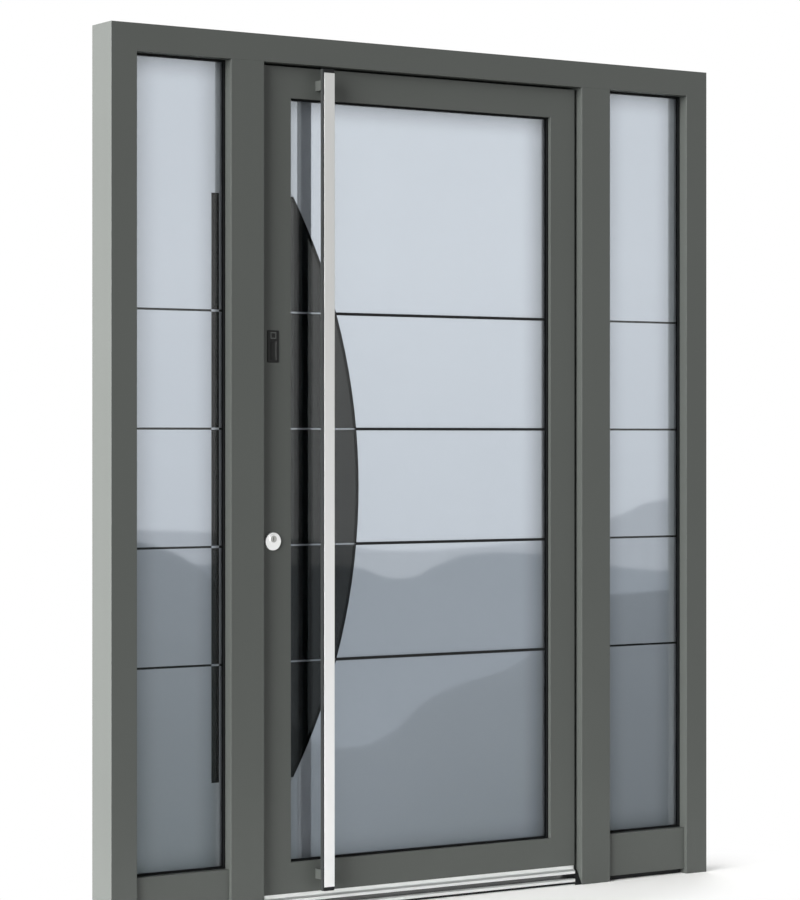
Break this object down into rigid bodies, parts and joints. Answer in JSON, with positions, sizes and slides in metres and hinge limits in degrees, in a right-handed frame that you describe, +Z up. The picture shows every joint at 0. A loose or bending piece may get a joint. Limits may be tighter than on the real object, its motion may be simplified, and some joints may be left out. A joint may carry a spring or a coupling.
{
  "type": "entrance door with sidelights",
  "caption": "Aluminium entrance door in a frame with fixed glass sidelights: glazed inward-opening leaf, long pull bar, lock and finger reader, frosted glass with clear lines.",
  "frame": {"origin": "on the ground under the threshold, in the middle of the frame's width and depth", "axes": "+X to the right seen from outside, +Y into the building, +Z up"},
  "size_m": [1.84, 0.197, 2.2],
  "materials": {
    "powder_coat": "fine matt powder coat, grey olive",
    "clear_glass": "clear float glass",
    "tinted_glass": "dark tinted glass behind the frosted layer",
    "satin_glass": "frosted glass, satin",
    "seal_rubber": "black seal",
    "spacer_plastic": "black warm-edge spacer",
    "anodised_aluminium": "natural anodised",
    "black_plastic": "black plastic",
    "stainless_steel": "brushed along its length",
    "bar_core": "grey coated core",
    "reader_plastic": "black, half gloss",
    "reader_window": "dark window",
    "hinge_metal": "coated like the frame"
  },
  "bodies": {
    "frame": {"left_jamb": "powder_coat", "right_jamb": "powder_coat", "head": "powder_coat", "left_mullion": "powder_coat", "right_mullion": "powder_coat", "left_bottom_rail": "powder_coat", "right_bottom_rail": "powder_coat", "base_packers": "black_plastic", "threshold_rails": "anodised_aluminium", "threshold_core": "black_plastic", "threshold_end_blocks": "black_plastic", "frame_seal": "seal_rubber", "sidelight_outer_panes": "clear_glass", "sidelight_pattern_panes": "tinted_glass", "sidelight_satin": "satin_glass", "sidelight_inner_panes": "clear_glass", "sidelight_spacers": "spacer_plastic", "sidelight_seals": "seal_rubber", "sidelight_beads": "powder_coat", "strike_plate": "stainless_steel", "hinge_frame_halves": "hinge_metal", "hinge_pins": "stainless_steel"},
    "leaf": {"lock_stile": "powder_coat", "hinge_stile": "powder_coat", "top_rail": "powder_coat", "bottom_rail": "powder_coat", "leaf_sill": "anodised_aluminium", "leaf_outer_pane": "clear_glass", "leaf_pattern_pane": "tinted_glass", "leaf_satin": "satin_glass", "leaf_inner_pane": "clear_glass", "leaf_spacers": "spacer_plastic", "leaf_seals": "seal_rubber", "leaf_beads": "powder_coat", "pull_bar": "bar_core", "pull_bar_joint": "black_plastic", "pull_bar_plate": "stainless_steel", "pull_bar_standoffs": "powder_coat", "lock_roses": "stainless_steel", "lock_cylinder": "stainless_steel", "lock_faceplate": "stainless_steel", "inside_lever": "stainless_steel", "finger_reader": "reader_plastic", "reader_window": "reader_window", "hinge_leaf_halves": "hinge_metal"}
  },
  "joints": [
    {"name": "leaf_swing", "type": "hinge", "parent": "frame", "child": "leaf", "pos_m": [0.514, 0.068, 1.06], "axis": [0, 0, -1], "range_deg": [0, 100]}
  ]
}
